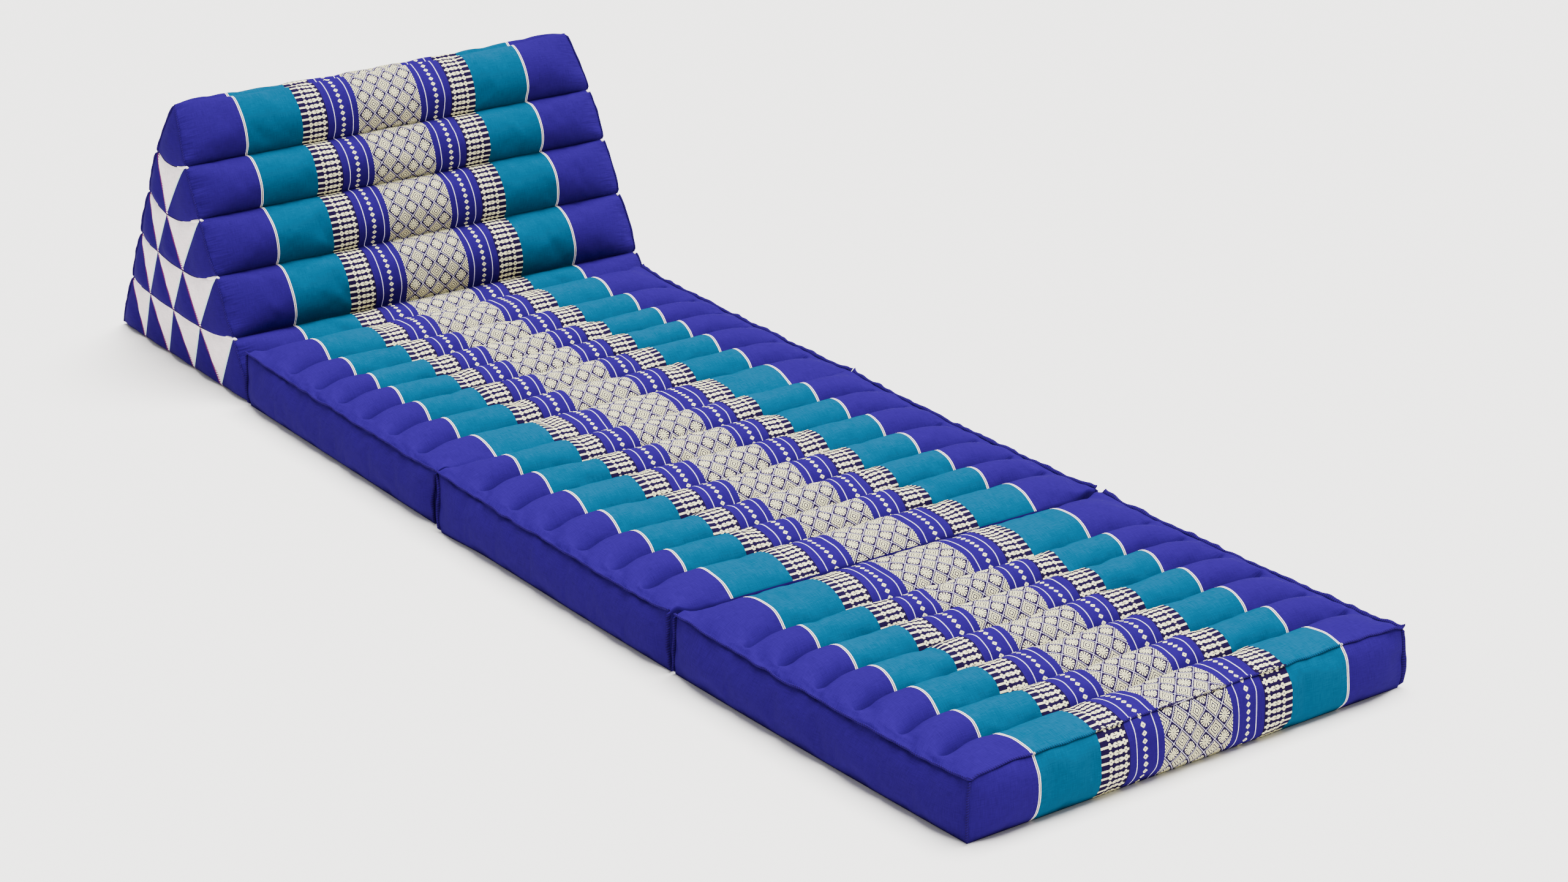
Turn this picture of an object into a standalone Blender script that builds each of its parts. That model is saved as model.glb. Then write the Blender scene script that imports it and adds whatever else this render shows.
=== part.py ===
"""A Thai triangle cushion with three fold-out mats, laid out flat on a floor.

The head end is a long triangular cushion, a stack of 1 + 2 + 3 + 4 + 5 filled tubes. In front of it
lie three boxed mats, each quilted into seven cross tubes and hinged to the next along a seam. Every
cushion is one filled solid with its crown, its drawn-in seams and its sewn channels.

Metres, +Z up, X across the cushion and Y along it, with the triangle at the far end. The origin lies
on the floor under the middle of the whole.
"""

import math
from collections import namedtuple

import bmesh
import bpy
from mathutils import Matrix, Vector

# Driving dimensions, in metres
WIDTH = 0.530           # a mat, from side seam to side seam
MAT_LENGTH = 0.458      # each of the three mats, along the middle
SEAM_HEIGHT = 0.0600    # top seam of a mat above the floor
CROWN_HEIGHT = 0.0715   # top of a mat's tubes above the floor
VALLEY_HEIGHT = 0.0520  # sewn channel between two tubes, above the floor
BASE = 0.350            # depth of the triangle on the floor
LEVELS = (0.319, 0.253, 0.197, 0.136, 0.070, 0.0)   # ridge and channels of the triangle, to the floor
TRIANGLE_WIDTH = 0.548  # the triangle, from end seam to end seam
TRIANGLE_SHIFT = 0.008  # it sits a little to the right of the mats
GAP = 0.0004            # between two cushions that touch

# Where the strip starts and how its joints are turned, as it lies
START = Vector((-0.0460, -0.8647))                  # middle of the nearest mat's end
JOINT_TURNS = tuple(map(math.radians, (0.0, -1.8, -3.4, -3.2)))

# The mats, nearest first. A lean above 0 sets the top of that end back and opens the joint upwards,
# and one below 0 sets its foot back. Valleys are fractions of the mat's length from its near end.
Mat = namedtuple("Mat", "name near_height far_height near_lean far_lean near_bulge valleys")
MATS = (
    Mat("mat_3", 0.0685, 0.0580, 0.000, 0.006, 0.011, (0.152, 0.281, 0.424, 0.556, 0.687, 0.808)),
    Mat("mat_2", 0.0580, 0.0620, 0.005, -0.012, 0.001, (0.170, 0.298, 0.437, 0.581, 0.733, 0.872)),
    Mat("mat_1", 0.0620, 0.0570, -0.007, 0.000, 0.001, (0.169, 0.312, 0.448, 0.574, 0.700, 0.838)),
)

# Form of the mats
FADE = 0.085            # the tubes flatten over this distance from a side seam
SEAM_SHARE = 0.05       # share of a tube's height left at the seam itself
DRAW_IN = 0.0030        # a side seam is pulled in by this much at each valley
CORNER_RISE = 0.0035    # the seam rises to its corners
CORNER_REACH = 0.030
WALL_BULGE = 0.0075     # box wall beyond its seam
WALL_CORNER = 0.050     # a wall reaches its full bulge at this distance from its corners
FOOT_TUCK = 0.0030      # the wall curls in under the mat by this much
FOOT_SPREAD = 0.0040    # and is this much wider at its foot than at its seam
LEAN_REACH = 0.6        # share of a wall's height over which it leans back
FOOT_PUSH = 0.0060      # the foot of the middle mat's far left corner is pushed out
FOOT_PUSH_REACH = 0.055

# Form of the triangle cushion
ROWS = len(LEVELS) - 1
HEIGHT = LEVELS[0]
ROW_BULGE = 0.0185      # rib of a row beyond the plane through its channels
FOOT_BULGE = 0.0250     # the lowest front tube, which is pressed flat by the mat before it
END_SHARE = 0.25        # share of a rib's bulge left at the end seam
END_FADE = 0.055
END_DOME = 0.0045       # bulge of each tube's end
PANEL_DOME = 0.0060     # bulge of the whole end panel
END_DRAW = 0.0030       # the end seam is pulled in by this much at each channel
RIDGE_DRAW = 0.0100     # the ridge is shorter than the rows below it, at either end
RIDGE_SAG = 0.0055      # and sinks between its ends
FRONT_SHARE = 0.0100    # the front tubes are fatter, which moves the seams behind them back
END_SAGS = (0.0, 0.0, 0.0240, 0.0165, 0.0075, 0.0)  # how far the rows' seams sink on an end, ridge to floor
ROW_BOWS = (0.0055, 0.0020)                         # bow of a row's seam next to the front slope, and behind

# Where the surfaces are divided
STRIPES = (0.1160, 0.1860)                          # woven middle and teal, from the middle line
EDGE_STEPS = (0.011, 0.034)                         # from a side seam
RIB_STEPS = (0.10, 0.30, 0.50, 0.70, 0.90)          # shares of a tube
WALL_STEPS = (0.12, 0.40, 0.75)                     # shares of a wall's height

ROW_HEIGHT = HEIGHT / ROWS  # of an even prism
PITCH = BASE / ROWS
SLOPE = Vector((PITCH / 2, ROW_HEIGHT)).normalized()  # up the front slope, in y and z
FLAT = 1e-6


def arch(share):
    """Height of a filled tube over its chord: 0 at both seams and 1 in the middle."""
    return math.sqrt(max(0.0, 4.0 * share * (1.0 - share)))


def ease(distance, reach):
    """From 0 at a seam to 1 at the given reach from it."""
    return 1.0 - (1.0 - min(1.0, max(0.0, distance / reach))) ** 2


def lay(across, along, up):
    """A point of the strip as it lies: its middle line turns evenly from joint to joint."""
    x, y = START
    turn = JOINT_TURNS[0]
    for first, last in zip(JOINT_TURNS, JOINT_TURNS[1:]):
        run = min(along, MAT_LENGTH)
        bend = (last - first) / MAT_LENGTH
        turn = first + bend * run
        x += (math.cos(turn) - math.cos(first)) / bend
        y += (math.sin(turn) - math.sin(first)) / bend
        along -= run
        if along <= 0.0:
            break
    x += across * math.cos(turn) - along * math.sin(turn)
    y += across * math.sin(turn) + along * math.cos(turn)
    return Vector((x, y, up))


def slice_through(bm, point, normal):
    geometry = bm.verts[:] + bm.edges[:] + bm.faces[:]
    bmesh.ops.bisect_plane(bm, geom=geometry, dist=FLAT, plane_co=point, plane_no=normal)


def slice_columns(bm, width, scale):
    for distance in (*STRIPES, *(width / 2 - step for step in EDGE_STEPS)):
        for side in (-1, 1):
            slice_through(bm, Vector((side * distance * scale, 0, 0)), Vector((1, 0, 0)))


def join_floor_faces(bm):
    """What lies on the floor is one flat face."""
    floor = [face for face in bm.faces if all(abs(v.co.z) < FLAT for v in face.verts)]
    bmesh.ops.dissolve_faces(bm, faces=floor)


def finish(bm, name, materials):
    """Turn the mesh into an object whose faces take the stripe of cloth that they lie in."""
    bmesh.ops.recalc_face_normals(bm, faces=bm.faces)
    mesh = bpy.data.meshes.new(name)
    bm.to_mesh(mesh)
    bm.free()
    for material in materials:
        mesh.materials.append(material)
    mesh.shade_smooth()
    mesh.set_sharp_from_angle(angle=math.radians(50))
    piece = bpy.data.objects.new(name, mesh)
    bpy.context.collection.objects.link(piece)
    return piece


def stripe_of(face, scale):
    """0 blue edge, 1 teal, 2 woven middle."""
    distance = abs(face.calc_center_median().x) / scale
    return sum(distance < stripe for stripe in STRIPES)


def mat_top(mat, along):
    """Height of a mat's top over the middle, and how near it is to a valley, from 0 to 1."""
    stations = (0.0, *mat.valleys, 1.0)
    heights = (mat.near_height, *[VALLEY_HEIGHT] * len(mat.valleys), mat.far_height)
    rib = max(i for i in range(len(stations) - 1) if along >= stations[i] or i == 0)
    share = (along - stations[rib]) / (stations[rib + 1] - stations[rib])
    low, high = heights[rib], heights[rib + 1]
    chord = low + (high - low) * share
    return chord + (CROWN_HEIGHT - (low + high) / 2) * arch(share), 1.0 - arch(share)


def end_offset(lean, bulge, across, level):
    """How far an end wall stands back from its joint."""
    back = abs(lean) * ease(level if lean > 0 else 1.0 - level, LEAN_REACH)
    corner = ease(WIDTH * (0.5 - abs(across)), WALL_CORNER)
    foot = FOOT_TUCK * (1.0 - level) ** 8
    return GAP / 2 + back + foot - bulge * arch(level) * corner


def mat_point(mat, number, point):
    """Place a point of the unit block on the mat's own surface, then on the floor."""
    across, along, level = point
    top, pull = mat_top(mat, along)
    edge = WIDTH * (0.5 - abs(across))
    share = SEAM_SHARE + (1.0 - SEAM_SHARE) * ease(edge, FADE)
    ends = min(along, 1.0 - along) * MAT_LENGTH
    seam = SEAM_HEIGHT + CORNER_RISE * math.exp(-((ends / CORNER_REACH) ** 2))
    up = level * (seam + (top - seam) * share)
    side = WALL_BULGE * arch(level) * ease(ends, WALL_CORNER)
    side -= DRAW_IN * pull * level * ease(ends, WALL_CORNER)
    side += FOOT_SPREAD * (1.0 - level) - FOOT_TUCK * (1.0 - level) ** 8
    if mat.far_lean < 0 and across < 0:
        away = (1.0 - along) * MAT_LENGTH / FOOT_PUSH_REACH
        side += FOOT_PUSH * (1.0 - level) * math.exp(-away ** 2)
    x = across * (WIDTH + 2 * side)
    near = end_offset(mat.near_lean, mat.near_bulge, across, level)
    far = end_offset(mat.far_lean, 0.0, across, level)
    y = near + (MAT_LENGTH - near - far) * along
    return lay(x, number * MAT_LENGTH + y, up)


def build_mat(mat, number, materials):
    bm = bmesh.new()
    bmesh.ops.create_cube(bm, size=1.0, matrix=Matrix.Translation((0.0, 0.5, 0.5)))
    slice_columns(bm, WIDTH, 1.0 / WIDTH)
    stations = (0.0, *mat.valleys, 1.0)
    for first, last in zip(stations, stations[1:]):
        for share in (0.0, *RIB_STEPS):
            slice_through(bm, Vector((0, first + share * (last - first), 0)), Vector((0, 1, 0)))
    for share in WALL_STEPS:
        slice_through(bm, Vector((0, 0, share)), Vector((0, 0, 1)))
    join_floor_faces(bm)
    for face in bm.faces:
        beside = max(abs(v.co.x) for v in face.verts) - min(abs(v.co.x) for v in face.verts) < FLAT
        face.material_index = 0 if beside else stripe_of(face, 1.0 / WIDTH)
    for vertex in bm.verts:
        vertex.co = mat_point(mat, number, vertex.co)
    return finish(bm, mat.name, materials)


def lattice(y, z):
    """Rows down from the ridge, and pitches from the front and from the back slope."""
    down = (HEIGHT - z) / ROW_HEIGHT
    front = (y - (BASE / 2 - PITCH / 2 * down)) / PITCH
    return down, front, down - front


def place(down, front, back):
    """Y and Z on the end of the plain prism, whose rows are not all of one height."""
    row = min(ROWS - 1, math.floor(down + FLAT))
    z = LEVELS[row] + (LEVELS[row + 1] - LEVELS[row]) * (down - row)
    half = BASE / 2 * (1.0 - z / HEIGHT)
    return BASE / 2 + (half * (front - back) / down if down > FLAT else 0.0), z


def tube_end(down, front, back):
    """Dome of the end of each tube: an upright triangle at the front, slanted cells behind it."""
    row = min(ROWS - 1, math.floor(down + FLAT))
    share = min(1.0, max(0.0, down - row))
    if back > row:
        return math.sqrt(max(0.0, 27.0 * (1.0 - share) * (back - row) * front))
    return arch(share) * arch(back - math.floor(back + FLAT))


def end_sag(front, back):
    """How far the patches of an end sink: straight along their slanted sides, and bowed along their rows."""

    def node_sag(near, far):
        return END_SAGS[near + far] * far / (near + far) if near > 0 and far > 0 else 0.0

    near, far = math.floor(front + FLAT), math.floor(back + FLAT)
    f, b = max(0.0, front - near), max(0.0, back - far)
    apex = (near, far)
    if f + b > 1.0:
        apex = (near + 1, far + 1)
    bow = ROW_BOWS[min(1, near)]
    sides = node_sag(near + 1, far) if f > FLAT else 0.0, node_sag(near, far + 1) if b > FLAT else 0.0
    if apex == (near, far):
        return node_sag(*apex) * (1.0 - f - b) + sides[0] * f + sides[1] * b + 4.0 * bow * f * b
    sag = sides[0] * (1.0 - b) + sides[1] * (1.0 - f) + 4.0 * bow * (1.0 - f) * (1.0 - b)
    return sag + (node_sag(*apex) * (f + b - 1.0) if f + b > 1.0 + FLAT else 0.0)


def triangle_point(point):
    """Place a point of the plain prism on the filled cushion's surface, then on the floor."""
    x, y, z = point
    down, front, back = lattice(y, z)
    row = min(ROWS - 1, math.floor(down + FLAT))
    rib = arch(min(1.0, max(0.0, down - row)))
    side = math.copysign(1.0, x)
    edge = TRIANGLE_WIDTH / 2 - abs(x)
    top = max(0.0, 1.0 - down)
    share = END_SHARE + (1.0 - END_SHARE) * ease(edge, END_FADE)
    lowest = FOOT_BULGE if row == ROWS - 1 else ROW_BULGE
    ahead = lowest * rib * share * max(0.0, 1.0 - front / 0.8) ** 2
    behind = ROW_BULGE * rib * share * max(0.0, 1.0 - back / 0.8) ** 2
    on_floor = z < FLAT
    y, z = place(down, front, back)
    if on_floor:
        ahead = behind = -FOOT_TUCK * (1.0 if min(front, back) < FLAT else 0.0)
    y += -SLOPE.y * ahead + SLOPE.y * behind
    z = 0.0 if on_floor else max(0.0, z + SLOPE.x * (ahead + behind))
    z -= RIDGE_SAG * top * ease(edge, TRIANGLE_WIDTH / 4)
    if edge < FLAT:
        z -= end_sag(front, back) if not on_floor else 0.0
        across = front / down if down > FLAT else 0.0
        y += FRONT_SHARE * 4.0 * across * (1.0 - across)
        whole = 27.0 * (front / ROWS) * (back / ROWS) * (1.0 - down / ROWS)
        out = END_DOME * tube_end(down, front, back) + PANEL_DOME * math.sqrt(max(0.0, whole))
        seam = min(front, back) < FLAT
        out -= END_DRAW * (1.0 - rib) if seam and row + rib > FLAT else 0.0
        out -= FOOT_TUCK if on_floor else 0.0
        x += side * out
    else:
        x -= side * END_DRAW * (1.0 - rib) * max(0.0, 1.0 - edge / END_FADE)
    x -= side * RIDGE_DRAW * top * max(0.0, 1.0 - edge / END_FADE)
    return lay(x + TRIANGLE_SHIFT, len(MATS) * MAT_LENGTH + max(GAP / 2, y), z)


def build_triangle(materials):
    bm = bmesh.new()
    outline = ((0.0, 0.0), (BASE, 0.0), (BASE / 2, HEIGHT))
    end = bm.faces.new([bm.verts.new((-TRIANGLE_WIDTH / 2, y, z)) for y, z in outline])
    extruded = bmesh.ops.extrude_face_region(bm, geom=[end])["geom"]
    moved = [item for item in extruded if isinstance(item, bmesh.types.BMVert)]
    bmesh.ops.translate(bm, verts=moved, vec=(TRIANGLE_WIDTH, 0, 0))
    slice_columns(bm, TRIANGLE_WIDTH, 1.0)
    for row in range(ROWS):
        for share in (0.0, *RIB_STEPS):
            down = row + share
            slice_through(bm, Vector((0, 0, HEIGHT - down * ROW_HEIGHT)), Vector((0, 0, 1)))
    parallel_to_back = Vector((0, SLOPE.y, SLOPE.x))
    parallel_to_front = Vector((0, -SLOPE.y, SLOPE.x))
    for number in range(1, ROWS):
        slice_through(bm, Vector((0, BASE - number * PITCH, 0)), parallel_to_back)
        slice_through(bm, Vector((0, number * PITCH, 0)), parallel_to_front)
    for number in range(ROWS):
        slice_through(bm, Vector((0, BASE - (number + 0.5) * PITCH, 0)), parallel_to_back)
    join_floor_faces(bm)
    for face in bm.faces:
        front = face.calc_center_median().y < BASE / 2 and abs(face.normal.x) < 0.5
        face.material_index = stripe_of(face, 1.0) if front else 0
    for vertex in bm.verts:
        vertex.co = triangle_point(vertex.co)
    return finish(bm, "triangle_cushion", materials)


def cloth(name, colour):
    """Plain matt cotton."""
    material = bpy.data.materials.new(name)
    material.use_nodes = True
    shader = material.node_tree.nodes["Principled BSDF"]
    shader.inputs["Base Color"].default_value = (*colour, 1.0)
    shader.inputs["Roughness"].default_value = 0.85
    shader.inputs["Metallic"].default_value = 0.0
    return material


def main():
    for thing in list(bpy.data.objects):
        bpy.data.objects.remove(thing, do_unlink=True)
    materials = (
        cloth("blue cotton", (0.040, 0.032, 0.350)),
        cloth("teal cotton", (0.005, 0.250, 0.400)),
        cloth("woven middle", (0.330, 0.310, 0.330)),
    )
    for number, mat in enumerate(MATS):
        build_mat(mat, number, materials)
    build_triangle(materials)


main()
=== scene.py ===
"""Dresses the solids of a Thai triangle cushion with its cotton: woven stripes, patchwork, seams and tucks.

Every cover starts as one block that is divided evenly and laid on its solid's shape. The cloth simulation
then fills it, with its seams and sewn channels held, and the edges of the seams are sewn on last.
"""

import math
from collections import namedtuple

import bmesh
import bpy
from mathutils import Matrix, Vector, noise


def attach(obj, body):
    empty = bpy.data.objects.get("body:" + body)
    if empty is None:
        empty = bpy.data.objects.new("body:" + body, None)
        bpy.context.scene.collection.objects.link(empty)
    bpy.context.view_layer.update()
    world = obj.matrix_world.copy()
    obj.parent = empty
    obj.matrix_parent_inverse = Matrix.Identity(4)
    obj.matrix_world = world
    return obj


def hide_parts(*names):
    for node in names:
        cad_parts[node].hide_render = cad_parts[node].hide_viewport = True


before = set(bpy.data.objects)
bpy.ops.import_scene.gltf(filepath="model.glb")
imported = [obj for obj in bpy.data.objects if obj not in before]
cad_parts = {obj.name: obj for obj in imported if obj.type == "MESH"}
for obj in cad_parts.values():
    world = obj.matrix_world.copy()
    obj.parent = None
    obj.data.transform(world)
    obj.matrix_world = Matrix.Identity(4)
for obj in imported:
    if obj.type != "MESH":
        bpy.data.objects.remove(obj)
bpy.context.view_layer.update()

# Sizes in metres, as in the solids
WIDTH = 0.530           # a mat, from side seam to side seam
MAT_LENGTH = 0.458
SEAM_HEIGHT = 0.0600    # top seam of a mat above the floor
CROWN_HEIGHT = 0.0715   # top of a mat's tubes
VALLEY_HEIGHT = 0.0520  # sewn channel between two tubes
BASE = 0.350            # depth of the triangle on the floor
LEVELS = (0.319, 0.253, 0.197, 0.136, 0.070, 0.0)   # ridge and channels of the triangle
TRIANGLE_WIDTH = 0.548
END_SAGS = (0.0, 0.0, 0.0240, 0.0165, 0.0075, 0.0)  # how far the rows' seams sink on an end, ridge to floor
ROW_BOWS = (0.0055, 0.0020)                         # bow of a row's seam next to the front slope, and behind
TRIANGLE_SHIFT = 0.008
GAP = 0.0004
START = Vector((-0.0460, -0.8647))                  # middle of the nearest mat's end
JOINT_TURNS = tuple(map(math.radians, (0.0, -1.8, -3.4, -3.2)))

Mat = namedtuple("Mat", "name near_height far_height near_lean far_lean near_bulge valleys")
MATS = (
    Mat("mat_3", 0.0685, 0.0580, 0.000, 0.006, 0.011, (0.152, 0.281, 0.424, 0.556, 0.687, 0.808)),
    Mat("mat_2", 0.0580, 0.0620, 0.005, -0.012, 0.001, (0.170, 0.298, 0.437, 0.581, 0.733, 0.872)),
    Mat("mat_1", 0.0620, 0.0570, -0.007, 0.000, 0.001, (0.169, 0.312, 0.448, 0.574, 0.700, 0.838)),
)
MIDDLES = (-0.0045, -0.0030, -0.0040)               # where the cloth's middle line lies on each mat
TRIANGLE_MIDDLE = -0.0040
TUBES = 7
ROWS = len(LEVELS) - 1
HEIGHT = LEVELS[0]
ROW_HEIGHT = HEIGHT / ROWS
PITCH = BASE / ROWS
SLOPE = Vector((PITCH / 2, ROW_HEIGHT)).normalized()

# Places on the striped cloth, in metres from its middle line
LATTICE_EDGE = 0.0415
LINES = (0.0495, 0.0740)
LINE_WIDTH = 0.0009
LOZENGES = 0.0628
SPIKES = (0.0830, 0.1160)
SPIKE_PITCH = 0.0069
TEAL_EDGE = 0.1890
THREAD = 0.00069
LATTICE = 15            # threads in half a repeat, across and along
STRETCH = 1.06          # how much longer the pattern is woven along the cloth
PAIR = (0.0005, 0.0014) # half widths of the dark thread and the white pair between teal and blue

# Rings of the lattice, in threads from a flower's middle
FLOWER_EYE = 0.8
FLOWER_HEART = 5.0
PETAL_PAIRS = 6.0
PETAL_GAP = 4.4
PETAL_TIPS = 9.4
FLOWER_EDGE = 10.5
GROUND_EDGE = 13.5
LIGHT_LINE = 14.0
DARK_LINES = (15.5, 21.5, 25.5)
TEETH = 18.0

# Motifs of the navy band, in metres from its inner edge
Blossom = namedtuple("Blossom", "middle reach")
BLOSSOMS = (Blossom(0.0050, 0.0038), Blossom(0.0226, 0.0030))
HEXAGON = 0.0136
SPIKE = 0.0295
DOT = 0.0009

# How finely a cover is divided
TUBE_STEPS = 12
MAT_CUTS = (84, TUBES * TUBE_STEPS, 8)
TRIANGLE_COLUMNS = 84
WELT_TURNS = 6
FLAT = 1e-6
ON_LINE = 1e-4          # how near to a row or line of the patches, in pitches, lies on it

# Small tucks next to a seam, in metres
Tuck = namedtuple("Tuck", "pitch reach depth")
SIDE_TUCKS = Tuck(0.011, 0.016, 0.0022)
END_TUCKS = Tuck(0.012, 0.010, 0.0012)
WALL_TUCKS = Tuck(0.010, 0.014, 0.0016)
SLOPE_TUCKS = Tuck(0.008, 0.012, 0.0030)
PATCH_TUCKS = Tuck(0.008, 0.010, 0.0018)
TUCK_START = 0.004      # the first bit next to a seam, over which a tuck opens

# Filling of the covers
PRESSURE = 4.0
SLACK = 0.012
FURTHEST = 0.006        # metres that a point may move while the cover is filled
FILLING_STEPS = 20
PLUMP = 2.2             # how square a filled tube is
ROW_LEAN = 0.0185       # how far a row of the triangle bulges
LAST_ROW_LEAN = 0.025

# Overlocked edges: how high they stand and how thick they are
MAT_WELT = (0.0042, 0.0026)
TRIANGLE_WELT = (0.0022, 0.0018)
PATCH_TIP = (0.0042, 0.0040)
STITCH = 0.0026         # from one stitch to the next

# The camera, fitted to the photo
CAMERA_AT = Vector((-2.2872, -3.2963, 1.5903))
CAMERA_AZIMUTH = math.radians(36.2)
CAMERA_DOWN = math.radians(21.04)
CAMERA_ROLL = math.radians(-1.01)
CAMERA_LENS = 90.49


def arch(share):
    return math.sqrt(max(0.0, 4.0 * share * (1.0 - share)))


def ease(distance, reach):
    return 1.0 - (1.0 - min(1.0, max(0.0, distance / reach))) ** 2


def lay(across, along, up):
    """A point of the strip as it lies: its middle line turns evenly from joint to joint."""
    x, y = START
    turn = JOINT_TURNS[0]
    for first, last in zip(JOINT_TURNS, JOINT_TURNS[1:]):
        run = min(along, MAT_LENGTH)
        bend = (last - first) / MAT_LENGTH
        turn = first + bend * run
        x += (math.cos(turn) - math.cos(first)) / bend
        y += (math.sin(turn) - math.sin(first)) / bend
        along -= run
        if along <= 0.0:
            break
    x += across * math.cos(turn) - along * math.sin(turn)
    y += across * math.sin(turn) + along * math.cos(turn)
    return Vector((x, y, up))


# The cloth as numbers over the surface

class Reading:
    """A number that changes over the surface. Sums of readings become Math nodes."""

    def __init__(self, tree, socket):
        self.tree = tree
        self.socket = socket

    def math(self, operation, *others):
        node = self.tree.nodes.new("ShaderNodeMath")
        node.operation = operation
        for socket, value in zip(node.inputs, (self, *others)):
            if isinstance(value, Reading):
                self.tree.links.new(value.socket, socket)
            else:
                socket.default_value = value
        return Reading(self.tree, node.outputs[0])

    def __add__(self, other):
        return self.math("ADD", other)

    def __sub__(self, other):
        return self.math("SUBTRACT", other)

    def __mul__(self, other):
        return self.math("MULTIPLY", other)

    def __truediv__(self, other):
        return self.math("DIVIDE", other)

    def __lt__(self, other):
        return self.math("LESS_THAN", other)

    def __gt__(self, other):
        return self.math("GREATER_THAN", other)

    def __abs__(self):
        return self.math("ABSOLUTE")

    def fold(self, length):
        """Distance from the nearest even multiple of a length: a pattern mirrored at every multiple."""
        return self.math("PINGPONG", length)

    def threads(self, thread):
        """The middle of the thread that this falls on."""
        return (self / thread).math("FLOOR") * thread + thread / 2

    def near(self, place, reach):
        return self.math("COMPARE", place, reach)

    def either(self, other):
        return self.math("MAXIMUM", other)

    def both(self, other):
        return self.math("MINIMUM", other)

    def but_not(self, other):
        return (self - other).math("MAXIMUM", 0.0)


def blend(tree, share, under, over):
    """Mix two colours, which are sockets or tuples."""
    node = tree.nodes.new("ShaderNodeMix")
    node.data_type = "RGBA"
    for socket, value in zip((node.inputs[0], node.inputs[6], node.inputs[7]), (share, under, over)):
        if isinstance(value, Reading):
            tree.links.new(value.socket, socket)
        elif isinstance(value, bpy.types.NodeSocket):
            tree.links.new(value, socket)
        else:
            socket.default_value = value if isinstance(value, float) else (*value, 1.0)
    return node.outputs[2]


def new_group(name, inputs, outputs):
    """A shader node group with its sockets: each is a name and its kind."""
    tree = bpy.data.node_groups.new(name, "ShaderNodeTree")
    for in_out, sockets in (("INPUT", inputs), ("OUTPUT", outputs)):
        for socket, kind in sockets:
            tree.interface.new_socket(socket, in_out=in_out, socket_type=f"NodeSocket{kind}")
    entry = tree.nodes.new("NodeGroupInput")
    result = tree.nodes.new("NodeGroupOutput")
    return tree, entry, result


BLUE = (0.0150, 0.0036, 0.103)
TEAL = (0.0000, 0.060, 0.122)
NAVY = (0.0085, 0.0035, 0.028)
CREAM = (0.86, 0.81, 0.48)
WHITE = (0.95, 0.84, 0.86)
LILAC = (0.66, 0.60, 0.84)
MINT = (0.62, 0.88, 0.84)
MAGENTA = (0.13, 0.008, 0.100)
OLIVE = (0.12, 0.10, 0.055)


def clouds(tree, cloth, scale, detail):
    """A soft noise over the cloth, of so many clouds a metre across and along it."""
    place = tree.nodes.new("ShaderNodeMapping")
    place.inputs["Scale"].default_value = scale
    tree.links.new(cloth, place.inputs["Vector"])
    texture = tree.nodes.new("ShaderNodeTexNoise")
    texture.inputs["Scale"].default_value = 1.0
    texture.inputs["Detail"].default_value = detail
    tree.links.new(place.outputs[0], texture.inputs["Vector"])
    return Reading(tree, texture.outputs["Fac"])


def puckered(to_seam):
    """How strongly the cloth is gathered at a distance from a seam."""
    return ((to_seam * to_seam) * -5000.0).math("EXPONENT") * 7.0


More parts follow.
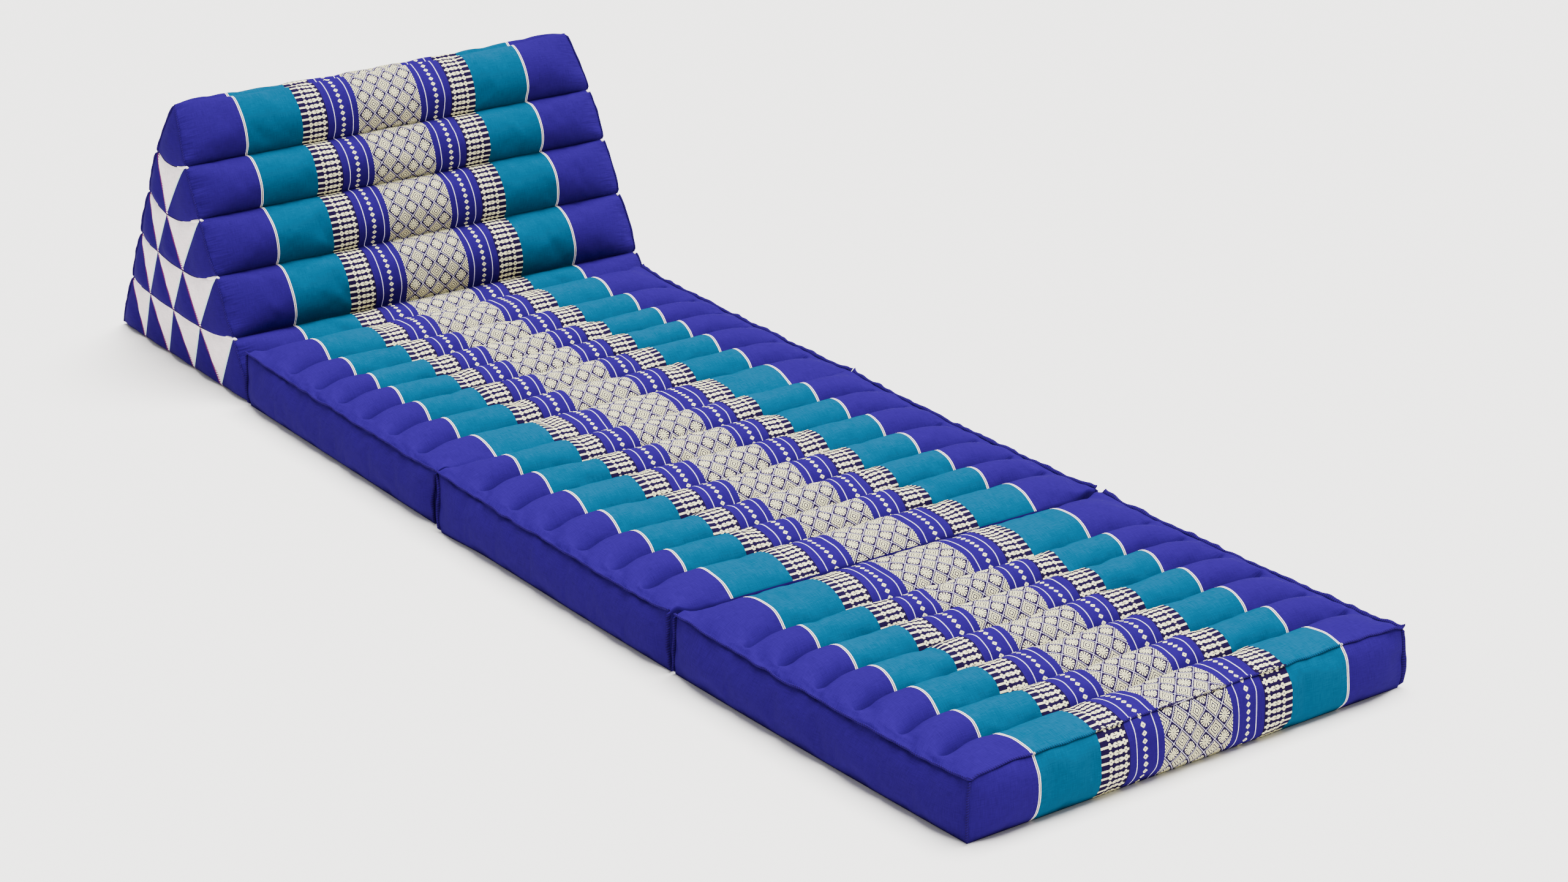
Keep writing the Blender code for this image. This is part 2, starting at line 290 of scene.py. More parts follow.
def woven_pattern():
    """The striped cloth, read in metres across and along it from its middle line."""
    tree, entry, result = new_group(
        "woven_pattern", (("Cloth", "Vector"),), (("Color", "Color"), ("Raised", "Float"))
    )
    split = tree.nodes.new("ShaderNodeSeparateXYZ")
    tree.links.new(entry.outputs["Cloth"], split.inputs[0])
    across = abs(Reading(tree, split.outputs[0]))
    along = Reading(tree, split.outputs[1]) / STRETCH

    # Lattice of the middle, counted in threads from a flower's middle to the middle of the nested diamonds
    half = LATTICE * THREAD
    x = (across.fold(half) * -1.0 + half) / THREAD
    y = along.fold(half) / THREAD
    ring = x.math("FLOOR") + y.math("FLOOR")
    every_other = x.math("FLOOR").math("PINGPONG", 1.0) > 0.5
    radius = (x * x + y * y).math("SQRT")
    angle = y.math("ARCTAN2", x)
    petal = abs((angle * PETAL_PAIRS).math("COSINE"))
    petals = (radius * petal > PETAL_GAP).both(radius < PETAL_TIPS).both(ring < FLOWER_EDGE)
    flower = petals.either((petal > 0.5).both(radius < FLOWER_HEART)).but_not(radius < FLOWER_EYE)
    flower_ground = (ring < GROUND_EDGE).but_not(flower)
    outer, middle, inner = (ring.near(line, 0.6) for line in DARK_LINES)
    diamonds = outer.either(middle).either(inner)
    teeth = ring.near(TEETH, 1.0).both(every_other)
    lattice_dark = flower_ground.either(diamonds).either(teeth)
    lattice_line = ring.near(LIGHT_LINE, 0.5)

    # Rows of a blossom, a long hexagon, a blossom and a spike, on navy
    place = across.threads(THREAD / 2) - SPIKES[0]
    y = along.fold(SPIKE_PITCH / 2).threads(THREAD / 2)

    def blossom(middle, reach):
        """Four petals round a dark dot."""
        out = abs(place - middle)
        petals = (out < 0.0015).both(y < 0.0024).either((y < 0.0012).both(out < reach))
        return petals.either((out + y) < 0.0030).but_not((out + y) < DOT)

    out = abs(place - HEXAGON)
    hexagon = ((out * 0.6 + y) < 0.0041).both(y < 0.0022).both(out < 0.0052)
    hexagon = hexagon.but_not((out < 0.0007).both(y > 0.0012))
    slit = (y < 0.0005).both(out < 0.0024)
    spike = (y < 0.0009).both(place.near(SPIKE, 0.0036))
    near, far = (blossom(*sizes) for sizes in BLOSSOMS)
    spikes = near.either(hexagon.but_not(slit)).either(far).either(spike)

    # A row of small lozenges on blue, between two thin lines
    side = abs(across.threads(THREAD / 2) - LOZENGES)
    lozenges = ((side * 0.85 + y) < 0.0026).but_not((side + y) < DOT)

    in_lattice = across < LATTICE_EDGE
    in_spikes = across.near(sum(SPIKES) / 2, (SPIKES[1] - SPIKES[0]) / 2)
    in_teal = across.near((SPIKES[1] + TEAL_EDGE) / 2, (TEAL_EDGE - SPIKES[1]) / 2)
    inner_line, outer_line = (across.near(line, LINE_WIDTH / 2) for line in LINES)
    lines = inner_line.either(outer_line)
    between, pair = (across.near(TEAL_EDGE, half_width) for half_width in PAIR)

    colour = blend(tree, in_teal, BLUE, TEAL)
    colour = blend(tree, in_spikes, colour, NAVY)
    colour = blend(tree, lines, colour, LILAC)
    colour = blend(tree, pair, colour, WHITE)
    colour = blend(tree, between, colour, OLIVE)
    colour = blend(tree, lozenges, colour, CREAM)
    colour = blend(tree, spikes.both(in_spikes), colour, CREAM)
    colour = blend(tree, in_lattice, colour, CREAM)
    colour = blend(tree, lattice_dark.both(in_lattice), colour, NAVY)
    colour = blend(tree, lattice_line.both(in_lattice), colour, LILAC)
    woven = spikes.both(in_spikes).either(lozenges).either(in_lattice.but_not(lattice_dark)).either(lines)
    to_seam = across * -1.0 + WIDTH / 2
    gathers = clouds(tree, entry.outputs["Cloth"], (40.0, 260.0, 1.0), 1.0)
    raised = woven + gathers * puckered(to_seam)
    tree.links.new(colour, result.inputs["Color"])
    tree.links.new(raised.socket, result.inputs["Raised"])
    return tree


def patch_stitches():
    """The stitching round the patches of an end, read in pitches of the lattice from its front and its top."""
    tree, entry, result = new_group(
        "patch_stitches", (("Cloth", "Vector"), ("Color", "Color")), (("Color", "Color"),)
    )
    split = tree.nodes.new("ShaderNodeSeparateXYZ")
    tree.links.new(entry.outputs["Cloth"], split.inputs[0])
    front = Reading(tree, split.outputs[0]) / PITCH
    down = Reading(tree, split.outputs[1]) / PITCH
    back = down - front
    inner = (front > 0.5).both(back > 0.5)
    stitch = (down * 26.0).math("FRACT") < 0.50         # 26 stitches to a side of a patch
    past_front, past_back = front.math("FRACT"), back.math("FRACT")
    to_row = down.fold(1.0).math("PINGPONG", 0.5)
    colour = blend(tree, past_back > 0.972, entry.outputs["Color"], MINT)
    colour = blend(tree, past_back < 0.012, colour, NAVY)
    on_line = ((past_front > 0.950).either(past_front < 0.026)).both(front > 0.5)
    colour = blend(tree, on_line, colour, MAGENTA)
    colour = blend(tree, (past_front > 0.950).both(front > 0.5).both(stitch), colour, WHITE)
    colour = blend(tree, (to_row < 0.010).both(inner.either(down < 1.5)), colour, NAVY)
    tree.links.new(colour, result.inputs["Color"])
    return tree


def overlock():
    """Slanted dark stitches over the edge of a seam, read along it and round it."""
    tree, entry, result = new_group(
        "overlock", (("Cloth", "Vector"), ("Color", "Color")), (("Color", "Color"),)
    )
    split = tree.nodes.new("ShaderNodeSeparateXYZ")
    tree.links.new(entry.outputs["Cloth"], split.inputs[0])
    stitch = ((Reading(tree, split.outputs[1]) / STITCH).math("FRACT") < 0.40) * 0.7
    colour = blend(tree, stitch, entry.outputs["Color"], NAVY)
    tree.links.new(colour, result.inputs["Color"])
    return tree


def cotton_grain():
    """Plain cotton: slubs in both threads and a faint cloudiness, over any colour."""
    tree, entry, result = new_group(
        "cotton_grain",
        (("Cloth", "Vector"), ("Color", "Color"), ("Raised", "Float")),
        (("Color", "Color"), ("Height", "Float")),
    )

    cloth = entry.outputs["Cloth"]
    weft = clouds(tree, cloth, (90.0, 1400.0, 1.0), 2.0)
    warp = clouds(tree, cloth, (1400.0, 90.0, 1.0), 2.0)
    cloud = clouds(tree, cloth, (9.0, 9.0, 1.0), 3.0)
    shade = (weft + warp - 1.0) * 0.55 + (cloud - 0.5) * 0.22 + 1.0
    scaled = tree.nodes.new("ShaderNodeVectorMath")
    scaled.operation = "SCALE"
    tree.links.new(entry.outputs["Color"], scaled.inputs[0])
    tree.links.new(shade.socket, scaled.inputs["Scale"])
    tree.links.new(scaled.outputs[0], result.inputs["Color"])
    height = (weft + warp) * 0.5 + Reading(tree, entry.outputs["Raised"]) * 0.8
    tree.links.new(height.socket, result.inputs["Height"])
    return tree


def set_colour(tree, socket, colour):
    """Give a socket a colour, or link it to one."""
    if isinstance(colour, tuple):
        socket.default_value = colour
    else:
        tree.links.new(colour, socket)


def cotton(name, grain, colour=None, pattern=None, stitches=None):
    """A matt cotton material, of one colour or with a pattern group, with or without stitches over it."""
    material = bpy.data.materials.new(name)
    material.use_nodes = True
    tree = material.node_tree
    shader = tree.nodes["Principled BSDF"]
    shader.inputs["Roughness"].default_value = 0.85
    shader.inputs["Specular IOR Level"].default_value = 0.02
    cloth = tree.nodes.new("ShaderNodeUVMap")
    cloth.uv_map = "cloth"
    weave = tree.nodes.new("ShaderNodeGroup")
    weave.node_tree = grain
    tree.links.new(cloth.outputs[0], weave.inputs["Cloth"])
    colour_of = (*colour, 1.0) if colour else None
    for group in (pattern, stitches):
        if group:
            layer = tree.nodes.new("ShaderNodeGroup")
            layer.node_tree = group
            tree.links.new(cloth.outputs[0], layer.inputs["Cloth"])
            if "Raised" in layer.outputs:
                tree.links.new(layer.outputs["Raised"], weave.inputs["Raised"])
            else:
                set_colour(tree, layer.inputs["Color"], colour_of)
            colour_of = layer.outputs["Color"]
    set_colour(tree, weave.inputs["Color"], colour_of)
    bump = tree.nodes.new("ShaderNodeBump")
    bump.inputs["Strength"].default_value = 0.35
    bump.inputs["Distance"].default_value = 0.0006
    tree.links.new(weave.outputs["Color"], shader.inputs["Base Color"])
    tree.links.new(weave.outputs["Height"], bump.inputs["Height"])
    tree.links.new(bump.outputs[0], shader.inputs["Normal"])
    return material


# Covers

def divide(bm, axis, count):
    """Divide every edge that runs along an axis into equal lengths."""
    others = [i for i in range(3) if i != axis]
    edges = [
        edge for edge in bm.edges
        if all(abs(edge.verts[0].co[i] - edge.verts[1].co[i]) < FLAT for i in others)
    ]
    bmesh.ops.subdivide_edges(bm, edges=edges, cuts=count - 1, use_grid_fill=True)


def spread(share):
    """Closer steps next to both seams of a tube."""
    return 0.8 * (0.5 - 0.5 * math.cos(math.pi * share)) + 0.2 * share


def full(share, square=PLUMP):
    """A tightly filled tube over its chord: steeper at its seams than an arch, the more so the squarer it is."""
    return max(0.0, 1.0 - abs(2.0 * share - 1.0) ** square) ** (1.0 / square)


def tuck(along, away, tucks, seed):
    """How far small tucks pull the cloth in, at a place along a seam and away from it."""
    place = along / tucks.pitch
    wave = noise.noise(Vector((place, seed, 0.5))) + 0.5 * noise.noise(Vector((place * 2.3, seed, 3.5)))
    return tucks.depth * wave * math.exp(-((away / tucks.reach) ** 2))


def station(mat, y):
    """Tube, share of the tube and share of the mat's length at a row of the block."""
    stations = (0.0, *mat.valleys, 1.0)
    tube = min(TUBES - 1, int(y * TUBES + FLAT))
    share = spread(y * TUBES - tube)
    return tube, share, stations[tube] + (stations[tube + 1] - stations[tube]) * share


def column(across):
    """Closer columns next to the side seams."""
    return math.copysign(0.5 * (1.0 - (1.0 - min(1.0, 2.0 * abs(across))) ** 1.4), across)


def mat_depth(mat, tube, share):
    """How far a mat's top stays under the crown of its tubes, over its middle."""
    deep = CROWN_HEIGHT - VALLEY_HEIGHT + 0.008
    ends = (CROWN_HEIGHT - mat.near_height, *[deep] * len(mat.valleys), CROWN_HEIGHT - mat.far_height)
    low, high = ends[tube], ends[tube + 1]
    return (low + (high - low) * share) * (1.0 - full(share))


def end_offset(lean, bulge, across, level):
    """How far an end wall lies inside its joint."""
    back = abs(lean) * ease(level if lean > 0 else 1.0 - level, 0.6)
    corner = ease(WIDTH * (0.5 - abs(across)), 0.050)
    return GAP / 2 + back + 0.003 * (1.0 - level) ** 8 - bulge * arch(level) * corner


def mat_point(mat, number, place):
    """Lay a point of the block on the mat's surface."""
    across, y, level = place
    across = column(across)
    left = across < 0
    tube, share, along = station(mat, y)
    edge = WIDTH * (0.5 - abs(across))
    ends = min(along, 1.0 - along) * MAT_LENGTH
    run = along * MAT_LENGTH
    seed = 7.3 * number + (2.1 if left else 0.0)
    seam = SEAM_HEIGHT + 0.0035 * math.exp(-((ends / 0.030) ** 2))
    seam += 0.0012 * noise.noise(Vector((run / 0.035, seed, 0)))
    crown = seam + (CROWN_HEIGHT - seam) * ease(edge, 0.048)
    fade = ease(max(0.0, edge - 0.010), 0.026)
    top = crown - mat_depth(mat, tube, share) * fade
    top -= tuck(run, edge, SIDE_TUCKS, seed) * min(1.0, edge / TUCK_START)
    top -= tuck(across * WIDTH, ends, END_TUCKS, seed + 1) * min(1.0, ends / TUCK_START)
    up = level * top
    side = 0.0075 * arch(level) * ease(ends, 0.050)
    side += 0.004 * (1.0 - level) - 0.003 * (1.0 - level) ** 8
    side -= tuck(run, (1.0 - level) * SEAM_HEIGHT, WALL_TUCKS, seed + 2) * arch(level)
    side += 0.0010 * arch(level) * noise.noise(Vector((run / 0.060, level * 2.0, seed)))
    if mat.far_lean < 0 and left:
        side += 0.006 * (1.0 - level) * math.exp(-((1.0 - along) * MAT_LENGTH / 0.055) ** 2)
    x = across * (WIDTH + 2 * side)
    near = end_offset(mat.near_lean, mat.near_bulge, across, level)
    if number == 0:
        near += 0.0012 * level * noise.noise(Vector((across * WIDTH / 0.045, seed, 9.0)))
    far = end_offset(mat.far_lean, 0.0, across, level)
    y = near + (MAT_LENGTH - near - far) * along
    comma = 0.020 if left else 0.008
    y -= comma * level * max(0.0, 1.0 - edge / 0.060) ** 2 * min(1.0, ends / 0.060)
    return lay(x, number * MAT_LENGTH + y, up)


def paint(bm, uv_of, material_of):
    """Give each corner its place on the cloth, and each face its material, before the block is laid."""
    uv = bm.loops.layers.uv.new("cloth")
    for face in bm.faces:
        face.smooth = True
        face.material_index = material_of(face)
        for loop in face.loops:
            loop[uv].uv = uv_of(face, loop.vert.co)


def new_piece(name, bm, materials):
    mesh = bpy.data.meshes.new(name)
    bm.to_mesh(mesh)
    bm.free()
    for material in materials:
        mesh.materials.append(material)
    piece = bpy.data.objects.new(name, mesh)
    bpy.context.collection.objects.link(piece)
    return piece


def fill_cover(piece, held):
    """Fill a cover like a cushion: its held points stay, and no other moves far."""
    group = piece.vertex_groups.new(name="held")
    group.add(held, 1.0, "REPLACE")
    before = [vertex.co.copy() for vertex in piece.data.vertices]
    cloth = piece.modifiers.new("filling", "CLOTH")
    settings = cloth.settings
    settings.quality = 6
    settings.mass = 0.3
    settings.tension_stiffness = settings.compression_stiffness = 20.0
    settings.shear_stiffness = 8.0
    settings.bending_stiffness = 0.8
    settings.use_pressure = True
    settings.uniform_pressure_force = PRESSURE
    settings.vertex_group_mass = "held"
    settings.shrink_min = -SLACK
    settings.effector_weights.gravity = 0.0
    cloth.point_cache.frame_start = 1
    cloth.point_cache.frame_end = FILLING_STEPS
    for step in range(1, FILLING_STEPS + 1):
        bpy.context.scene.frame_set(step)
    graph = bpy.context.evaluated_depsgraph_get()
    filled = piece.evaluated_get(graph).data
    moved = [vertex.co.copy() for vertex in filled.vertices]
    piece.modifiers.remove(cloth)
    bpy.context.scene.frame_set(1)
    for vertex, old, new in zip(piece.data.vertices, before, moved):
        step = new - old
        vertex.co = old + step * min(1.0, FURTHEST / max(step.length, FLAT))


def round_off(piece):
    smooth = piece.modifiers.new("rounding", "SUBSURF")
    smooth.levels = smooth.render_levels = 1


def running_length(points):
    lengths = [0.0]
    for a, b in zip(points, points[1:]):
        lengths.append(lengths[-1] + (b - a).length)
    return lengths


def crease_edges(bm, sharpness_of):
    """Mark the edges that stay sharp when the cover is rounded off."""
    crease = bm.edges.layers.float.new("crease_edge")
    for edge in bm.edges:
        edge[crease] = sharpness_of(edge)


def build_mat(mat, number, materials):
    bm = bmesh.new()
    bmesh.ops.create_cube(bm, size=1.0, matrix=Matrix.Translation((0.0, 0.5, 0.5)))
    for axis, count in enumerate(MAT_CUTS):
        divide(bm, axis, count)
    rows = MAT_CUTS[1]
    middle = [mat_point(mat, number, (0.0, row / rows, 1.0)) for row in range(rows + 1)]
    lengths = running_length(middle)

    def uv_of(face, co):
        y, z = face.normal.yz
        across = column(co.x) * WIDTH - MIDDLES[number]
        if abs(z) > 0.5:
            return across, lengths[round(co.y * rows)]
        if abs(y) > 0.5:
            return across, (co.z - 1.0) * 0.068
        return co.y * MAT_LENGTH, co.z * 0.065

    def material_of(face):
        front = number == 0 and face.normal.y < -0.5
        return 0 if face.normal.z > 0.5 or front else 1

    def on_seam(vertex):
        x, y = vertex.co.xy
        return 0.5 - abs(x) < FLAT or round(y * rows) in (0, rows)

    def sharpness_of(edge):
        a, b = edge.verts
        if edge.calc_face_angle(0.0) > 1.0:
            return 1.0
        along_row = abs(a.co.y - b.co.y) < FLAT and a.co.z + b.co.z > 2 - FLAT
        if not along_row or round(a.co.y * rows) % TUBE_STEPS:
            return 0.0
        inner = 0.5 - abs(column((a.co.x + b.co.x) / 2))
        return min(1.0, max(0.0, inner * WIDTH / 0.012 - 0.9))

    bm.normal_update()
    paint(bm, uv_of, material_of)
    crease_edges(bm, sharpness_of)
    held = []
    for index, vertex in enumerate(bm.verts):
        x, y, z = vertex.co
        edge = WIDTH * (0.5 - abs(column(x)))
        row = round(y * rows)
        channel = z > 1 - FLAT and row % TUBE_STEPS == 0 and edge > 0.016
        corner = edge < FLAT and row in (0, rows)
        joint = row in (0, rows) and not (number == 0 and row == 0)
        if z < FLAT or (z > 1 - FLAT and on_seam(vertex)) or channel or corner or joint:
            held.append(index)
        vertex.co = mat_point(mat, number, vertex.co)
    piece = new_piece(mat.name + "_cover", bm, materials)
    fill_cover(piece, held)
    round_off(piece)
    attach(piece, "root")
    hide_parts(mat.name)


def build_welt(name, slot, runs, material, height, width):
    """The narrow overlocked edge of a seam.

    Each run is a list of steps: a place, the way that the edge points, and where it lies across the cloth.
    """
    bm = bmesh.new()
    uv = bm.loops.layers.uv.new("cloth")
    for number, run in enumerate(runs):
        places = [place for place, way, across in run]
        lengths = running_length(places)
        last = len(run) - 1
        grid = bmesh.ops.create_grid(bm, x_segments=last, y_segments=WELT_TURNS, size=0.5)["verts"]
        faces = {face for vertex in grid for face in vertex.link_faces}
        spots = {
            vertex: (round((vertex.co.x + 0.5) * last), round((vertex.co.y + 0.5) * WELT_TURNS))
            for vertex in grid
        }
        for face in faces:
            face.smooth = True
            for loop in face.loops:
                step, turn = spots[loop.vert]
                loop[uv].uv = (run[step][2], lengths[step] + turn * 0.0004)
        for vertex, (step, turn) in spots.items():
            place, way, across = run[step]
            before, after = places[max(0, step - 1)], places[min(last, step + 1)]
            beside = way.cross(after - before).normalized()
            wave = noise.noise(Vector((lengths[step] / 0.012, number * 3.7, 0.5)))
            swing = noise.noise(Vector((lengths[step] / 0.017, number * 3.7, 8.5)))
            end = 0.2 if step in (0, last) else 1.0
            angle = math.tau * turn / WELT_TURNS
            tall = height * (1.0 + 0.45 * wave) * end
            out = tall * (0.42 + 0.58 * math.cos(angle)) - 0.0004
            aside = width / 2 * math.sin(angle) * end + swing * 0.0012
            vertex.co = place + way * out + beside * aside
            vertex.co.z = max(vertex.co.z, 0.0002)
    bmesh.ops.remove_doubles(bm, verts=bm.verts[:], dist=FLAT)
    rims = [edge for edge in bm.edges if edge.is_boundary]
    for face in bmesh.ops.holes_fill(bm, edges=rims)["faces"]:
        for loop in face.loops:
            loop[uv].uv = (WIDTH / 2, 0.0)
    bmesh.ops.recalc_face_normals(bm, faces=bm.faces)
    piece = new_piece(name, bm, (material,))
    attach(piece, "root")
    return piece


def mat_welts(mat, number, material):
    """The edges along both sides, down the corners and, on the nearest mat, along its front."""
    steps = 150
    side = WIDTH / 2
    left, front, right = [], [], []
    for step in range(steps + 1):
        y = 1.0 - step / steps
        ear = 1.0 + 0.7 * math.exp(-((min(y, 1.0 - y) * MAT_LENGTH / 0.007) ** 2))
        left.append((mat_point(mat, number, (-0.5, y, 1.0)), Vector((-0.75, 0.0, 0.66)) * ear, -side))
        right.append((mat_point(mat, number, (0.5, 1.0 - y, 1.0)), Vector((0.75, 0.0, 0.66)) * ear, side))
    for step in range(1, steps):
        x = step / steps - 0.5
        across = column(x) * WIDTH - MIDDLES[number]
        front.append((mat_point(mat, number, (x, 0.0, 1.0)), Vector((0.0, -0.85, 0.53)) * 0.6, across))
    runs = [left + front + right] if number == 0 else [left, right]
    for x in (-0.5, 0.5):
        for y in (0.0, 1.0):
            aside = -0.7 if number == 0 and y == 0.0 else 0.0
            way = Vector((math.copysign(1.0, x), aside, 0.0)).normalized()
            downs = [1.0 - step / 24 for step in range(24)]
            runs.append([(mat_point(mat, number, (x, y, level)), way, side) for level in downs])
    build_welt(mat.name + "_welt", "striped_cotton", runs, material, *MAT_WELT)


# The triangle

def lattice(y, z):
    """Pitches of the patches' lattice down from the ridge, from the front slope and from the back slope."""
    down = (HEIGHT - z) / ROW_HEIGHT
    front = (y - (BASE / 2 - PITCH / 2 * down)) / PITCH
    return down, front, down - front


def place_on_end(down, front, back):
    """Where a place of the even lattice lies on the end, with its uneven rows."""
    row = min(ROWS - 1, math.floor(down + FLAT))
    z = LEVELS[row] + (LEVELS[row + 1] - LEVELS[row]) * (down - row)
    half = BASE / 2 * (1.0 - z / HEIGHT)
    return BASE / 2 + (half * (front - back) / down if down > FLAT else 0.0), z


def patch_shares(front, back):
    """Shares of an end's patch along its three sides, and whether it is turned over."""
    f, b = (max(0.0, value - math.floor(value + FLAT)) for value in (front, back))
    if f + b > 1.0 + FLAT:
        return 1.0 - f, 1.0 - b, f + b - 1.0, True
    return f, b, max(0.0, 1.0 - f - b), False


def over_patch(front, back, at_node):
    """Spread what is known at the corners of the patches of an end evenly over them."""
    near, far = math.floor(front + FLAT), math.floor(back + FLAT)
    f, b, rest, turned = patch_shares(front, back)
    apex = (near + 1, far + 1) if turned else (near, far)
    first, second = (b, f) if turned else (f, b)
    corners = ((apex, rest), ((near + 1, far), first), ((near, far + 1), second))
    return sum(share * at_node(*node) for node, share in corners if share > FLAT)


def node_sag(near, far):
    """How far a corner of the patches sinks."""
    return END_SAGS[near + far] * far / (near + far) if near > 0 and far > 0 else 0.0


def node_back(near, far):
    """How far a corner of the patches moves to the back."""
    return 0.040 * near * far / (near + far) ** 2 if near + far > 0 else 0.0


def node_out(near, far):
    """How far a corner of the patches stands out."""
    return 0.006 * math.sqrt(max(0.0, 27.0 * near * far * (ROWS - near - far))) / ROWS ** 1.5


def triangle_point(point):
    """Lay a point of the plain prism on the triangle's surface."""
    x, y, z = point
    down, front, back = lattice(y, z)
    row = min(ROWS - 1, math.floor(down + FLAT))
    side = math.copysign(1.0, x)
    edge = TRIANGLE_WIDTH / 2 - abs(x)
    square = PLUMP + 0.6 * max(0.0, 1.0 - edge / 0.045)
    rib = full(min(1.0, max(0.0, down - row)), square)
    top = max(0.0, 1.0 - down)
    share = 0.20 + 0.80 * ease(edge, 0.055)
    lean = LAST_ROW_LEAN if row == ROWS - 1 else ROW_LEAN
    ahead = lean * rib * share * max(0.0, 1.0 - front / 0.8) ** 2
    behind = ROW_LEAN * rib * (1.125 * share - 0.125) * max(0.0, 1.0 - back / 0.8) ** 2
    on_floor = z < FLAT
    y, z = place_on_end(down, front, back)
    gather = min(1.0, edge / TUCK_START)
    run = down * 0.07
    pull = tuck(run, edge, SLOPE_TUCKS, 4.0 if side < 0 else 31.0) * gather * rib
    ahead -= pull if front < FLAT else 0.0
    behind -= pull if back < FLAT else 0.0
    if on_floor:
        ahead = behind = -0.003 * (1.0 if min(front, back) < FLAT else 0.0)
    y += -SLOPE.y * ahead + SLOPE.y * behind
    z = 0.0 if on_floor else max(0.0, z + SLOPE.x * (ahead + behind))
    z -= 0.0055 * top * ease(edge, TRIANGLE_WIDTH / 4)
    if edge < FLAT:
        f, b, rest, turned = patch_shares(front, back)
        bow = ROW_BOWS[min(1, math.floor(front + FLAT))] if turned or row < ROWS - 1 else 0.0
        z = max(0.0, z - over_patch(front, back, node_sag) - 4.0 * bow * f * b)
        y += over_patch(front, back, node_back)
        out = 0.0040 * (27.0 * max(0.0, f * b * rest)) ** 0.85 + over_patch(front, back, node_out)
        inner = min(front, back) * PITCH
        if row + rib > FLAT:
            out -= 0.003 * (1.0 - rib) * math.exp(-((inner / 0.014) ** 2))
        if on_floor:
            out -= 0.003
        out -= tuck(run, inner, PATCH_TUCKS, 12.0 if side < 0 else 43.0) * min(1.0, inner / 0.003)
        x += side * out
    else:
        x -= side * 0.003 * (1.0 - rib) * max(0.0, 1.0 - edge / 0.055)
    x -= side * 0.010 * top * max(0.0, 1.0 - edge / 0.055)
    return lay(x + TRIANGLE_SHIFT, len(MATS) * MAT_LENGTH + max(GAP / 2, y), z)


def slice_through(bm, point, normal):
    """Cut every face along a plane."""
    geometry = bm.verts[:] + bm.edges[:] + bm.faces[:]
    bmesh.ops.bisect_plane(bm, geom=geometry, dist=FLAT, plane_co=point, plane_no=normal)


def build_triangle(materials):
    bm = bmesh.new()
    outline = ((0.0, 0.0), (BASE, 0.0), (BASE / 2, HEIGHT))
    end = bm.faces.new([bm.verts.new((-TRIANGLE_WIDTH / 2, y, z)) for y, z in outline])
    extruded = bmesh.ops.extrude_face_region(bm, geom=[end])["geom"]
    moved = [item for item in extruded if isinstance(item, bmesh.types.BMVert)]
    bmesh.ops.translate(bm, verts=moved, vec=(TRIANGLE_WIDTH, 0, 0))
    parallel_to_back = Vector((0, SLOPE.y, SLOPE.x))
    parallel_to_front = Vector((0, -SLOPE.y, SLOPE.x))
    for row in range(ROWS):
        for step in range(TUBE_STEPS):
            down = row + spread(step / TUBE_STEPS)
            slice_through(bm, Vector((0, 0, HEIGHT - down * ROW_HEIGHT)), Vector((0, 0, 1)))
            slice_through(bm, Vector((0, down * PITCH, 0)), -parallel_to_front)
    for number in range(1, ROWS):
        slice_through(bm, Vector((0, BASE - number * PITCH, 0)), parallel_to_back)
    divide(bm, 0, TRIANGLE_COLUMNS)
    bm.normal_update()
    bmesh.ops.recalc_face_normals(bm, faces=bm.faces)
    downs = sorted({round(lattice(vertex.co.y, vertex.co.z)[0], 4) for vertex in bm.verts})
    slope = [Vector((0.0, -BASE / 2 * down / ROWS, HEIGHT * (1.0 - down / ROWS))) for down in downs]
    middle = [triangle_point((0.0, BASE / 2 + point.y, point.z)) for point in slope]
    lengths = dict(zip(downs, running_length(middle)))

    def uv_of(face, co):
        down, front, back = lattice(co.y, co.z)
        if abs(face.normal.x) > 0.5:
            return front * PITCH, down * PITCH
        across = TRIANGLE_WIDTH * column(co.x / TRIANGLE_WIDTH) - TRIANGLE_MIDDLE
        if face.normal.z < -0.5:
            return across, co.y
        return across, math.copysign(lengths[round(down, 4)], face.normal.y)

    def material_of(face):
        down, front, back = lattice(*face.calc_center_median().yz)
        if abs(face.normal.x) > 0.5:
            inverted = math.floor(front) + math.floor(back) < math.floor(down)
            return 3 if inverted else 2
        return 0 if face.normal.z > 0.1 else 1

    def sharpness_of(edge):
        a, b = edge.verts
        if edge.calc_face_angle(0.0) > 1.0 and min(a.co.z, b.co.z) < HEIGHT - FLAT:
            return 1.0
        downs, fronts, backs = zip(*(lattice(*vertex.co.yz) for vertex in (a, b)))
        for pair in (downs, fronts, backs):
            if abs(pair[0] - pair[1]) < ON_LINE and abs(pair[0] - round(pair[0])) < ON_LINE:
                on_end = min(TRIANGLE_WIDTH / 2 - abs(vertex.co.x) for vertex in (a, b)) < FLAT
                if (on_end or pair is downs) and round(pair[0]) > 0:
                    return 1.0
        return 0.0

    paint(bm, uv_of, material_of)
    crease_edges(bm, sharpness_of)
    held = []
    for index, vertex in enumerate(bm.verts):
        vertex.co.x = TRIANGLE_WIDTH * column(vertex.co.x / TRIANGLE_WIDTH)
        x, y, z = vertex.co
        down, front, back = lattice(y, z)
        on_end = TRIANGLE_WIDTH / 2 - abs(x) < FLAT
        at_row = abs(down - round(down)) < ON_LINE
        at_line = min(abs(back - round(back)), abs(front - round(front))) < ON_LINE
        if z < FLAT or at_row or (on_end and at_line):
            held.append(index)
        vertex.co = triangle_point(vertex.co)
    piece = new_piece("triangle_cover", bm, materials)
    fill_cover(piece, held)
    round_off(piece)
    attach(piece, "root")
    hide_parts("triangle_cushion")


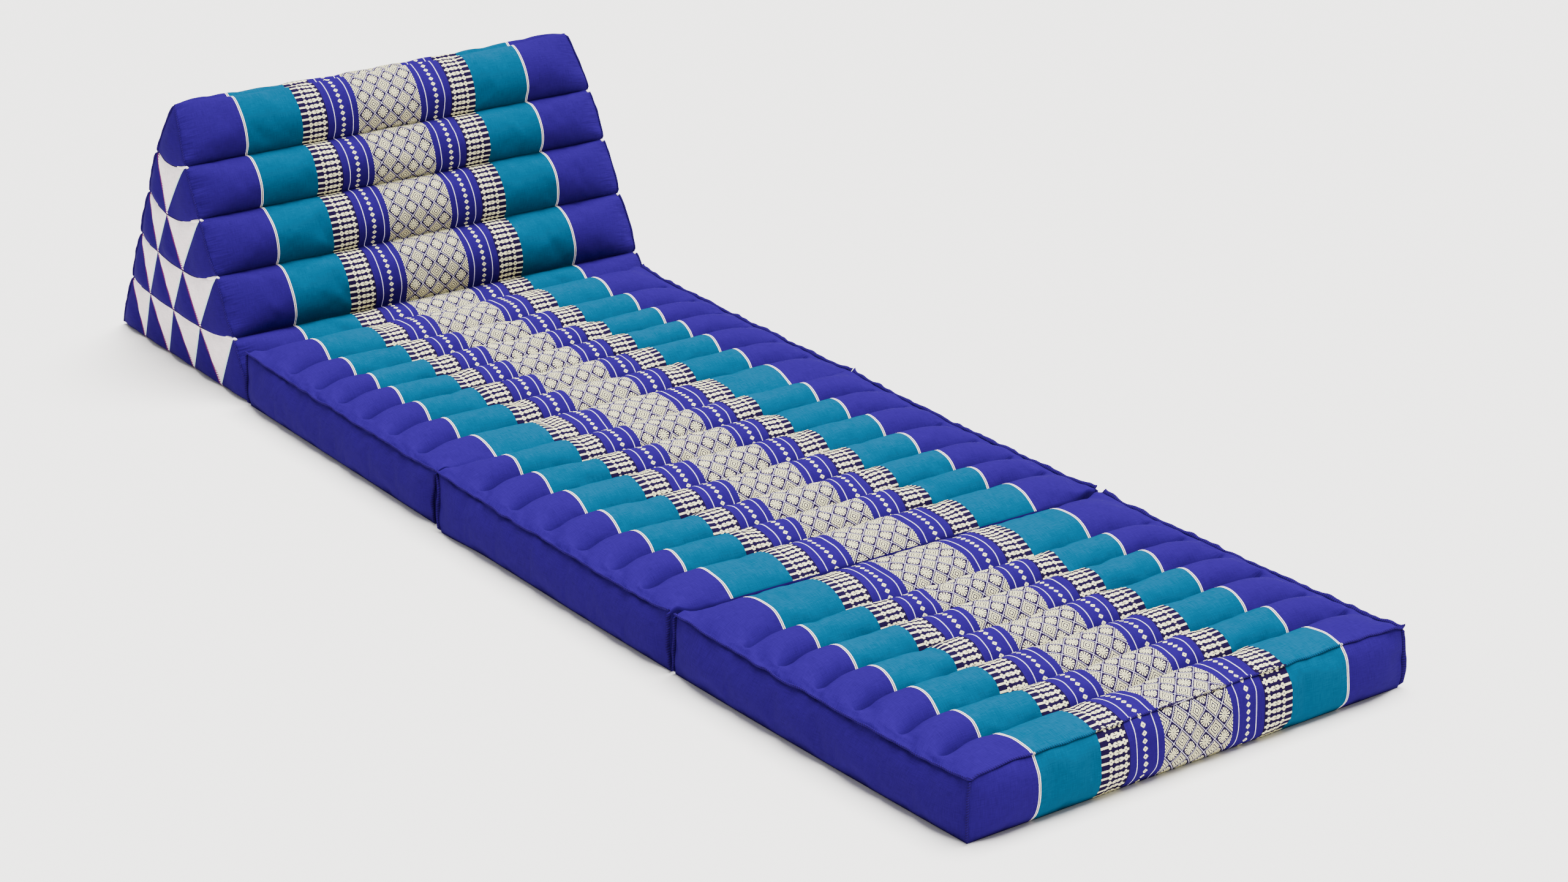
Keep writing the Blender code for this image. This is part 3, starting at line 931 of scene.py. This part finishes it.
def triangle_welts(material):
    """The overlocked edge between each end and both slopes."""
    runs = []
    steps = 120
    for x in (-TRIANGLE_WIDTH / 2, TRIANGLE_WIDTH / 2):
        for way_out in (-1, 1):
            run = []
            for step in range(1, steps + 1):
                down = ROWS * step / steps
                y = BASE / 2 + way_out * PITCH / 2 * down
                place = triangle_point((x, y, HEIGHT - down * ROW_HEIGHT))
                way = Vector((math.copysign(0.72, x), way_out * 0.62, 0.30))
                run.append((place, way, TRIANGLE_WIDTH / 2))
            runs.append(run)
    build_welt("triangle_welt", "patchwork_cotton", runs, material, *TRIANGLE_WELT)


def triangle_corners(material):
    """The folded tips of the white patches where the rows of an end meet the front."""
    runs = []
    for side in (-1, 1):
        for row in range(1, ROWS):
            y = BASE / 2 - PITCH / 2 * row
            z = HEIGHT - row * ROW_HEIGHT
            run = []
            for step, swell in enumerate((0.1, 0.4, 0.7, 0.9, 1.0, 1.2, 1.2, 0.8, 0.3)):
                place = triangle_point((side * TRIANGLE_WIDTH / 2, y + 0.003 * max(0, 6 - step), z))
                place += Vector((-side * 0.0006, -0.0016, -0.0003)) * max(0, step - 5)
                run.append((place, Vector((side * 0.80, -0.55, -0.15)) * swell, 0.0))
            runs.append(run)
    round_off(build_welt("triangle_corners", "patchwork_cotton", runs, material, *PATCH_TIP))


# The studio

def add_camera():
    data = bpy.data.cameras.new("camera")
    data.lens = CAMERA_LENS
    data.clip_end = 50.0
    camera = bpy.data.objects.new("camera", data)
    turn = Matrix.Rotation(-CAMERA_AZIMUTH, 4, "Z") @ Matrix.Rotation(math.pi / 2 - CAMERA_DOWN, 4, "X")
    camera.matrix_world = Matrix.Translation(CAMERA_AT) @ turn @ Matrix.Rotation(CAMERA_ROLL, 4, "Z")
    bpy.context.collection.objects.link(camera)
    bpy.context.scene.camera = camera


def add_light(name, way, strength, spread_angle):
    """A soft light from far away, so that the floor is lit evenly."""
    data = bpy.data.lights.new(name, "SUN")
    data.energy = strength
    data.angle = math.radians(spread_angle)
    light = bpy.data.objects.new(name, data)
    light.rotation_euler = Vector(way).to_track_quat("-Z", "Y").to_euler()
    bpy.context.collection.objects.link(light)


def add_studio():
    bm = bmesh.new()
    bmesh.ops.create_grid(bm, x_segments=1, y_segments=1, size=30.0)
    floor = new_piece("floor", bm, ())
    material = bpy.data.materials.new("pale floor")
    material.use_nodes = True
    shader = material.node_tree.nodes["Principled BSDF"]
    shader.inputs["Base Color"].default_value = (0.90, 0.88, 0.85, 1.0)
    shader.inputs["Roughness"].default_value = 0.7
    floor.data.materials.append(material)
    world = bpy.data.worlds.new("studio")
    world.use_nodes = True
    world.node_tree.nodes["Background"].inputs["Color"].default_value = (1.0, 1.0, 1.0, 1.0)
    world.node_tree.nodes["Background"].inputs["Strength"].default_value = 0.55
    bpy.context.scene.world = world
    add_light("key", way=(-0.20, 0.02, -1.0), strength=12.0, spread_angle=50.0)


add_camera()
add_studio()
grain = cotton_grain()
stitches = patch_stitches()
weave = woven_pattern()
striped = cotton("striped cotton", grain, pattern=weave)
blue = cotton("blue cotton", grain, colour=BLUE)
blue_patch = cotton("blue patch", grain, colour=BLUE, stitches=stitches)
white_patch = cotton("white patch", grain, colour=WHITE, stitches=stitches)
edging = cotton("overlocked edge", grain, pattern=weave, stitches=overlock())
for number, mat in enumerate(MATS):
    build_mat(mat, number, (striped, blue))
    mat_welts(mat, number, edging)
build_triangle((striped, blue, blue_patch, white_patch))
triangle_welts(edging)
triangle_corners(cotton("white cotton", grain, colour=WHITE))
